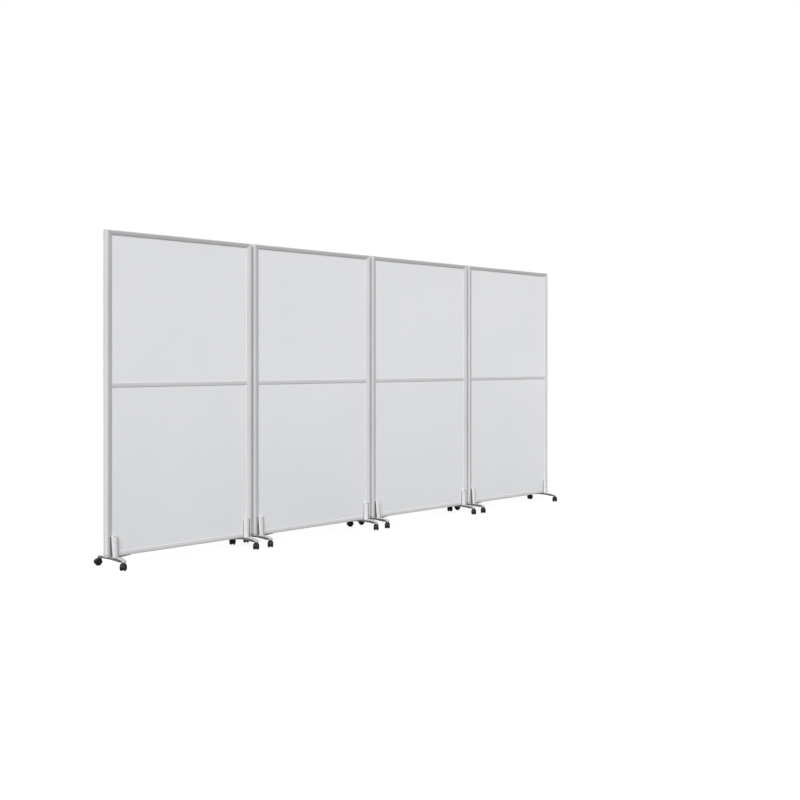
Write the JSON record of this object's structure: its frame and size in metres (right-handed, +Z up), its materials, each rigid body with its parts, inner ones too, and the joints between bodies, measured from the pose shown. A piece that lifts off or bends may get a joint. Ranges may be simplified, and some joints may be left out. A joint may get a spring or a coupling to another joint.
{
  "type": "rolling room divider",
  "caption": "Row of framed screen panels on castered arched feet, joined by edge strips that let each panel turn a little against the next one.",
  "frame": {"origin": "on the floor under the middle of the row, at the bottom centre of the bounding box", "axes": "+X along the row from the first panel to the last, -Y towards the viewer's side, +Z up"},
  "size_m": [4.0864, 0.2942, 1.83],
  "materials": {
    "frame": "satin anodised",
    "board": "white melamine facing, matt",
    "key": "mill finish",
    "strip": "grey extruded plastic",
    "foot": "satin silver casting",
    "bolt": "zinc plated",
    "yoke": "black moulded plastic with a steel stem and axle",
    "wheel": "black moulded plastic"
  },
  "bodies": {
    "panel_1": {"panel_1_stiles": "frame", "panel_1_rails": "frame", "panel_1_infill_boards": "board", "panel_1_corner_keys": "key", "panel_1_edge_strips": "strip", "panel_1_feet": "foot", "panel_1_foot_bolts": "bolt"},
    "panel_1_left_front_caster": {"panel_1_left_front_caster_yoke": "yoke"},
    "panel_1_left_front_wheels": {"panel_1_left_front_caster_wheels": "wheel"},
    "panel_1_left_rear_caster": {"panel_1_left_rear_caster_yoke": "yoke"},
    "panel_1_left_rear_wheels": {"panel_1_left_rear_caster_wheels": "wheel"},
    "panel_1_right_front_caster": {"panel_1_right_front_caster_yoke": "yoke"},
    "panel_1_right_front_wheels": {"panel_1_right_front_caster_wheels": "wheel"},
    "panel_1_right_rear_caster": {"panel_1_right_rear_caster_yoke": "yoke"},
    "panel_1_right_rear_wheels": {"panel_1_right_rear_caster_wheels": "wheel"},
    "panel_2": {"panel_2_stiles": "frame", "panel_2_rails": "frame", "panel_2_infill_boards": "board", "panel_2_corner_keys": "key", "panel_2_edge_strips": "strip", "panel_2_feet": "foot", "panel_2_foot_bolts": "bolt"},
    "panel_2_left_front_caster": {"panel_2_left_front_caster_yoke": "yoke"},
    "panel_2_left_front_wheels": {"panel_2_left_front_caster_wheels": "wheel"},
    "panel_2_left_rear_caster": {"panel_2_left_rear_caster_yoke": "yoke"},
    "panel_2_left_rear_wheels": {"panel_2_left_rear_caster_wheels": "wheel"},
    "panel_2_right_front_caster": {"panel_2_right_front_caster_yoke": "yoke"},
    "panel_2_right_front_wheels": {"panel_2_right_front_caster_wheels": "wheel"},
    "panel_2_right_rear_caster": {"panel_2_right_rear_caster_yoke": "yoke"},
    "panel_2_right_rear_wheels": {"panel_2_right_rear_caster_wheels": "wheel"},
    "panel_3": {"panel_3_stiles": "frame", "panel_3_rails": "frame", "panel_3_infill_boards": "board", "panel_3_corner_keys": "key", "panel_3_edge_strips": "strip", "panel_3_feet": "foot", "panel_3_foot_bolts": "bolt"},
    "panel_3_left_front_caster": {"panel_3_left_front_caster_yoke": "yoke"},
    "panel_3_left_front_wheels": {"panel_3_left_front_caster_wheels": "wheel"},
    "panel_3_left_rear_caster": {"panel_3_left_rear_caster_yoke": "yoke"},
    "panel_3_left_rear_wheels": {"panel_3_left_rear_caster_wheels": "wheel"},
    "panel_3_right_front_caster": {"panel_3_right_front_caster_yoke": "yoke"},
    "panel_3_right_front_wheels": {"panel_3_right_front_caster_wheels": "wheel"},
    "panel_3_right_rear_caster": {"panel_3_right_rear_caster_yoke": "yoke"},
    "panel_3_right_rear_wheels": {"panel_3_right_rear_caster_wheels": "wheel"},
    "panel_4": {"panel_4_stiles": "frame", "panel_4_rails": "frame", "panel_4_infill_boards": "board", "panel_4_corner_keys": "key", "panel_4_edge_strips": "strip", "panel_4_feet": "foot", "panel_4_foot_bolts": "bolt"},
    "panel_4_left_front_caster": {"panel_4_left_front_caster_yoke": "yoke"},
    "panel_4_left_front_wheels": {"panel_4_left_front_caster_wheels": "wheel"},
    "panel_4_left_rear_caster": {"panel_4_left_rear_caster_yoke": "yoke"},
    "panel_4_left_rear_wheels": {"panel_4_left_rear_caster_wheels": "wheel"},
    "panel_4_right_front_caster": {"panel_4_right_front_caster_yoke": "yoke"},
    "panel_4_right_front_wheels": {"panel_4_right_front_caster_wheels": "wheel"},
    "panel_4_right_rear_caster": {"panel_4_right_rear_caster_yoke": "yoke"},
    "panel_4_right_rear_wheels": {"panel_4_right_rear_caster_wheels": "wheel"}
  },
  "joints": [
    {"name": "panel_2_turn", "type": "hinge", "parent": "panel_1", "child": "panel_2", "pos_m": [-1.0085, 0, 0.95], "axis": [0, 0, 1], "range_deg": [-18, 18]},
    {"name": "panel_3_turn", "type": "hinge", "parent": "panel_2", "child": "panel_3", "pos_m": [0.0195, 0, 0.95], "axis": [0, 0, 1], "range_deg": [-18, 18]},
    {"name": "panel_4_turn", "type": "hinge", "parent": "panel_3", "child": "panel_4", "pos_m": [1.0475, 0, 0.95], "axis": [0, 0, 1], "range_deg": [-18, 18]},
    {"name": "panel_1_left_front_caster_swivel", "type": "hinge", "parent": "panel_1", "child": "panel_1_left_front_caster", "pos_m": [-2.001, -0.115, 0.05], "axis": [0, 0, 1], "continuous": true},
    {"name": "panel_1_left_rear_caster_swivel", "type": "hinge", "parent": "panel_1", "child": "panel_1_left_rear_caster", "pos_m": [-2.001, 0.115, 0.05], "axis": [0, 0, 1], "continuous": true},
    {"name": "panel_1_right_front_caster_swivel", "type": "hinge", "parent": "panel_1", "child": "panel_1_right_front_caster", "pos_m": [-1.083, -0.115, 0.05], "axis": [0, 0, 1], "continuous": true},
    {"name": "panel_1_right_rear_caster_swivel", "type": "hinge", "parent": "panel_1", "child": "panel_1_right_rear_caster", "pos_m": [-1.083, 0.115, 0.05], "axis": [0, 0, 1], "continuous": true},
    {"name": "panel_2_left_front_caster_swivel", "type": "hinge", "parent": "panel_2", "child": "panel_2_left_front_caster", "pos_m": [-0.973, -0.115, 0.05], "axis": [0, 0, 1], "continuous": true},
    {"name": "panel_2_left_rear_caster_swivel", "type": "hinge", "parent": "panel_2", "child": "panel_2_left_rear_caster", "pos_m": [-0.973, 0.115, 0.05], "axis": [0, 0, 1], "continuous": true},
    {"name": "panel_2_right_front_caster_swivel", "type": "hinge", "parent": "panel_2", "child": "panel_2_right_front_caster", "pos_m": [-0.055, -0.115, 0.05], "axis": [0, 0, 1], "continuous": true},
    {"name": "panel_2_right_rear_caster_swivel", "type": "hinge", "parent": "panel_2", "child": "panel_2_right_rear_caster", "pos_m": [-0.055, 0.115, 0.05], "axis": [0, 0, 1], "continuous": true},
    {"name": "panel_3_left_front_caster_swivel", "type": "hinge", "parent": "panel_3", "child": "panel_3_left_front_caster", "pos_m": [0.055, -0.115, 0.05], "axis": [0, 0, 1], "continuous": true},
    {"name": "panel_3_left_rear_caster_swivel", "type": "hinge", "parent": "panel_3", "child": "panel_3_left_rear_caster", "pos_m": [0.055, 0.115, 0.05], "axis": [0, 0, 1], "continuous": true},
    {"name": "panel_3_right_front_caster_swivel", "type": "hinge", "parent": "panel_3", "child": "panel_3_right_front_caster", "pos_m": [0.973, -0.115, 0.05], "axis": [0, 0, 1], "continuous": true},
    {"name": "panel_3_right_rear_caster_swivel", "type": "hinge", "parent": "panel_3", "child": "panel_3_right_rear_caster", "pos_m": [0.973, 0.115, 0.05], "axis": [0, 0, 1], "continuous": true},
    {"name": "panel_4_left_front_caster_swivel", "type": "hinge", "parent": "panel_4", "child": "panel_4_left_front_caster", "pos_m": [1.083, -0.115, 0.05], "axis": [0, 0, 1], "continuous": true},
    {"name": "panel_4_left_rear_caster_swivel", "type": "hinge", "parent": "panel_4", "child": "panel_4_left_rear_caster", "pos_m": [1.083, 0.115, 0.05], "axis": [0, 0, 1], "continuous": true},
    {"name": "panel_4_right_front_caster_swivel", "type": "hinge", "parent": "panel_4", "child": "panel_4_right_front_caster", "pos_m": [2.001, -0.115, 0.05], "axis": [0, 0, 1], "continuous": true},
    {"name": "panel_4_right_rear_caster_swivel", "type": "hinge", "parent": "panel_4", "child": "panel_4_right_rear_caster", "pos_m": [2.001, 0.115, 0.05], "axis": [0, 0, 1], "continuous": true},
    {"name": "panel_1_left_front_caster_roll", "type": "hinge", "parent": "panel_1_left_front_caster", "child": "panel_1_left_front_wheels", "pos_m": [-2.00904, -0.1225, 0.019], "axis": [0.682, -0.7314, 0], "continuous": true},
    {"name": "panel_1_left_rear_caster_roll", "type": "hinge", "parent": "panel_1_left_rear_caster", "child": "panel_1_left_rear_wheels", "pos_m": [-2.01134, 0.11876, 0.019], "axis": [-0.342, -0.9397, 0], "continuous": true},
    {"name": "panel_1_right_front_caster_roll", "type": "hinge", "parent": "panel_1_right_front_caster", "child": "panel_1_right_front_wheels", "pos_m": [-1.0913, -0.12222, 0.019], "axis": [0.6561, -0.7547, 0], "continuous": true},
    {"name": "panel_1_right_rear_caster_roll", "type": "hinge", "parent": "panel_1_right_rear_caster", "child": "panel_1_right_rear_wheels", "pos_m": [-1.07388, 0.12115, 0.019], "axis": [-0.5592, 0.829, 0], "continuous": true},
    {"name": "panel_2_left_front_caster_roll", "type": "hinge", "parent": "panel_2_left_front_caster", "child": "panel_2_left_front_wheels", "pos_m": [-0.9805, -0.12305, 0.019], "axis": [0.7314, -0.682, 0], "continuous": true},
    {"name": "panel_2_left_rear_caster_roll", "type": "hinge", "parent": "panel_2_left_rear_caster", "child": "panel_2_left_rear_wheels", "pos_m": [-0.96522, 0.12278, 0.019], "axis": [-0.7071, 0.7071, 0], "continuous": true},
    {"name": "panel_2_right_front_caster_roll", "type": "hinge", "parent": "panel_2_right_front_caster", "child": "panel_2_right_front_wheels", "pos_m": [-0.06291, -0.12264, 0.019], "axis": [0.6947, -0.7193, 0], "continuous": true},
    {"name": "panel_2_right_rear_caster_roll", "type": "hinge", "parent": "panel_2_right_rear_caster", "child": "panel_2_right_rear_wheels", "pos_m": [-0.06433, 0.12083, 0.019], "axis": [-0.5299, -0.848, 0], "continuous": true},
    {"name": "panel_3_left_front_caster_roll", "type": "hinge", "parent": "panel_3_left_front_caster", "child": "panel_3_left_front_wheels", "pos_m": [0.04645, -0.12192, 0.019], "axis": [0.6293, -0.7771, 0], "continuous": true},
    {"name": "panel_3_left_rear_caster_roll", "type": "hinge", "parent": "panel_3_left_rear_caster", "child": "panel_3_left_rear_wheels", "pos_m": [0.04682, 0.12236, 0.019], "axis": [-0.6691, -0.7431, 0], "continuous": true},
    {"name": "panel_3_right_front_caster_roll", "type": "hinge", "parent": "panel_3_right_front_caster", "child": "panel_3_right_front_wheels", "pos_m": [0.96536, -0.12291, 0.019], "axis": [0.7193, -0.6947, 0], "continuous": true},
    {"name": "panel_3_right_rear_caster_roll", "type": "hinge", "parent": "panel_3_right_rear_caster", "child": "panel_3_right_rear_wheels", "pos_m": [0.98334, 0.11876, 0.019], "axis": [-0.342, 0.9397, 0], "continuous": true},
    {"name": "panel_4_left_front_caster_roll", "type": "hinge", "parent": "panel_4_left_front_caster", "child": "panel_4_left_front_wheels", "pos_m": [1.07593, -0.12343, 0.019], "axis": [0.766, -0.6428, 0], "continuous": true},
    {"name": "panel_4_left_rear_caster_roll", "type": "hinge", "parent": "panel_4_left_rear_caster", "child": "panel_4_left_rear_wheels", "pos_m": [1.07593, 0.12343, 0.019], "axis": [-0.766, -0.6428, 0], "continuous": true},
    {"name": "panel_4_right_front_caster_roll", "type": "hinge", "parent": "panel_4_right_front_caster", "child": "panel_4_right_front_wheels", "pos_m": [1.99364, -0.12318, 0.019], "axis": [0.7431, -0.6691, 0], "continuous": true},
    {"name": "panel_4_right_rear_caster_roll", "type": "hinge", "parent": "panel_4_right_rear_caster", "child": "panel_4_right_rear_wheels", "pos_m": [1.99017, 0.11691, 0.019], "axis": [-0.1736, -0.9848, 0], "continuous": true}
  ]
}
